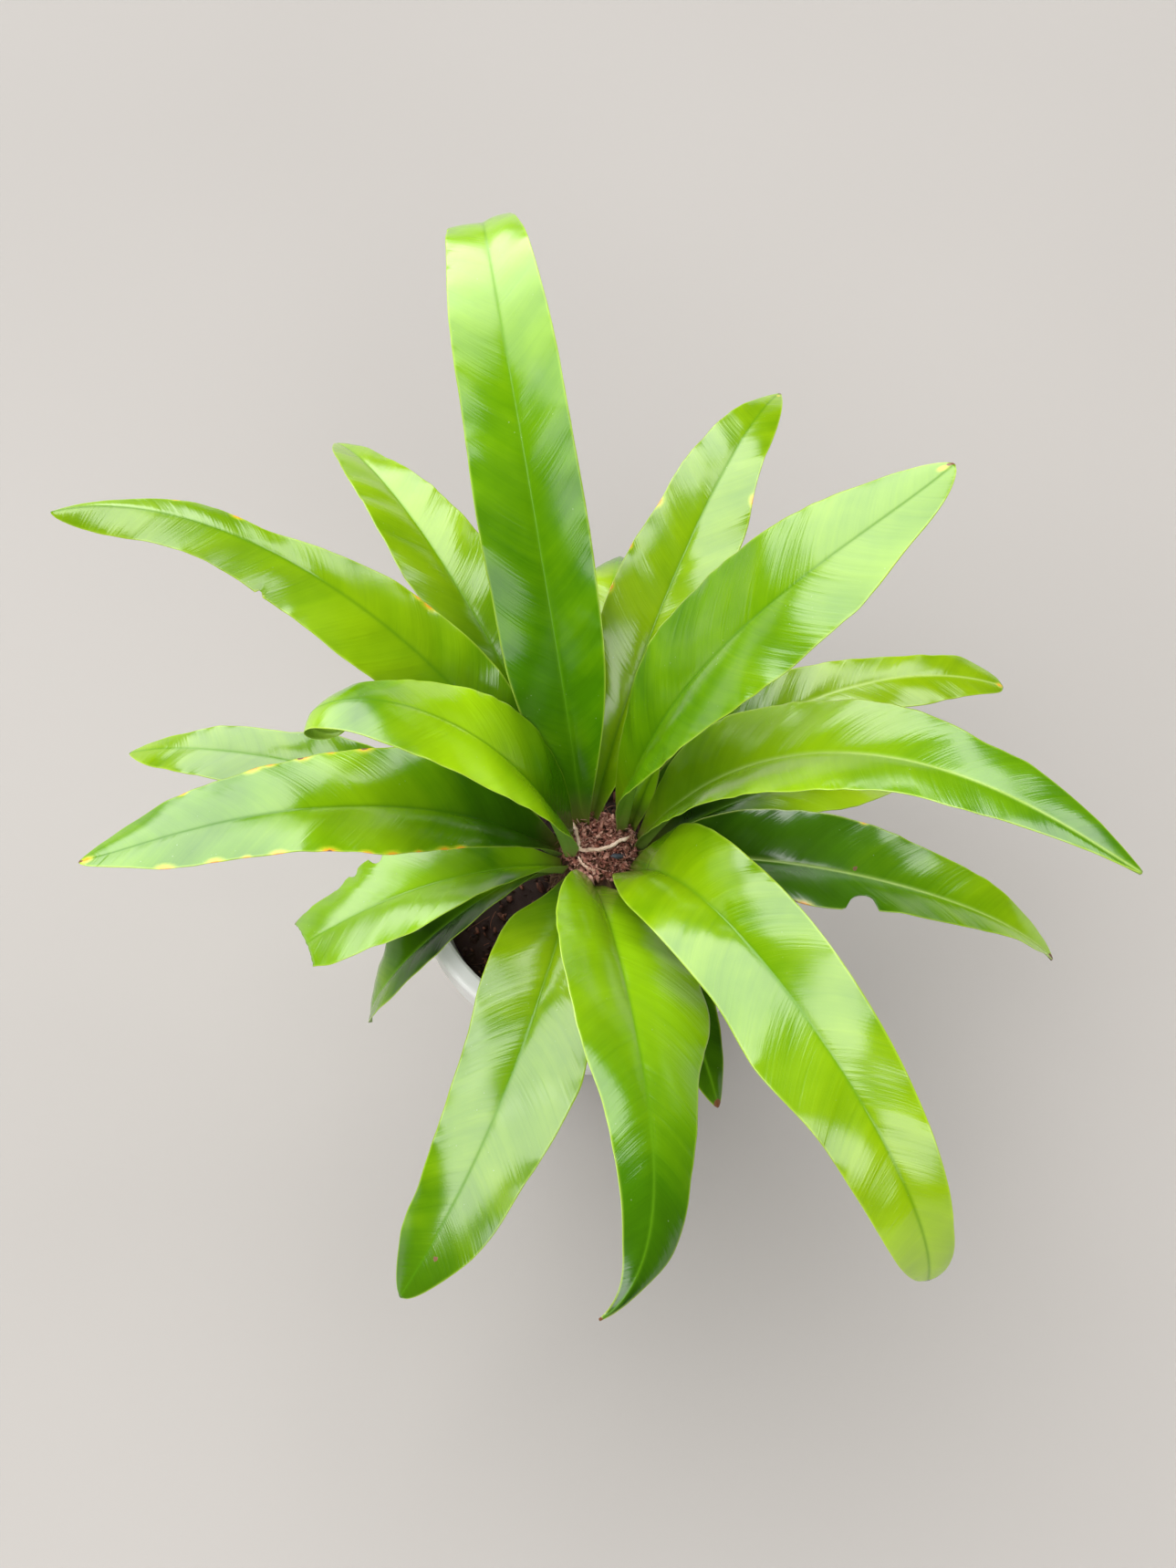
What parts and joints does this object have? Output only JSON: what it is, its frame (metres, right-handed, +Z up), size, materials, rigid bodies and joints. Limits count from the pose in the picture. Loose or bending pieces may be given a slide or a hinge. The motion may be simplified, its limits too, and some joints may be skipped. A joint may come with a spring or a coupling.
{
  "type": "potted fern",
  "caption": "Live bird's-nest fern with undivided, glossy strap-shaped fronds spreading from a central crown in a plain round white nursery pot.",
  "frame": {"origin": "centre of the pot's flat base, on the surface it stands on", "axes": "+Z up out of the pot, +Y towards the side that the tallest frond leans to, +X to the right when looking along +Y"},
  "size_m": [0.3897, 0.4477, 0.3338],
  "materials": {
    "pot": "smooth semi-gloss white",
    "potting_mix": "loose dark bark and peat, matte",
    "stem_fibre": "rough fibrous stem, matte",
    "litter": "coarse reddish-brown crumbs, matte",
    "charcoal": "dull blue-grey",
    "root": "pale dry skin, matte",
    "frond": "glossy mid-green leaf",
    "frond_young": "glossy lime-green young leaf"
  },
  "bodies": {
    "root": {"pot": "pot", "potting_mix": "potting_mix", "crown_stem": "stem_fibre", "crown_litter": "litter", "charcoal_chip": "charcoal", "surface_root_long": "root", "surface_root_short": "root", "frond_back_tall": "frond", "frond_back_right": "frond", "frond_right_broad": "frond", "frond_left_young": "frond_young", "frond_right_arching": "frond", "frond_right_bitten": "frond", "frond_front_broad": "frond", "frond_front_drip_tip": "frond", "frond_front_left": "frond", "frond_left_torn": "frond", "frond_left_broad": "frond", "frond_left_wavy": "frond", "frond_right_low": "frond", "frond_right_yellowed": "frond", "frond_front_under": "frond", "frond_front_short": "frond", "frond_left_under": "frond", "frond_left_low": "frond", "frond_back_left": "frond", "frond_back_low": "frond", "frond_crown_spear": "frond_young"}
  },
  "joints": []
}
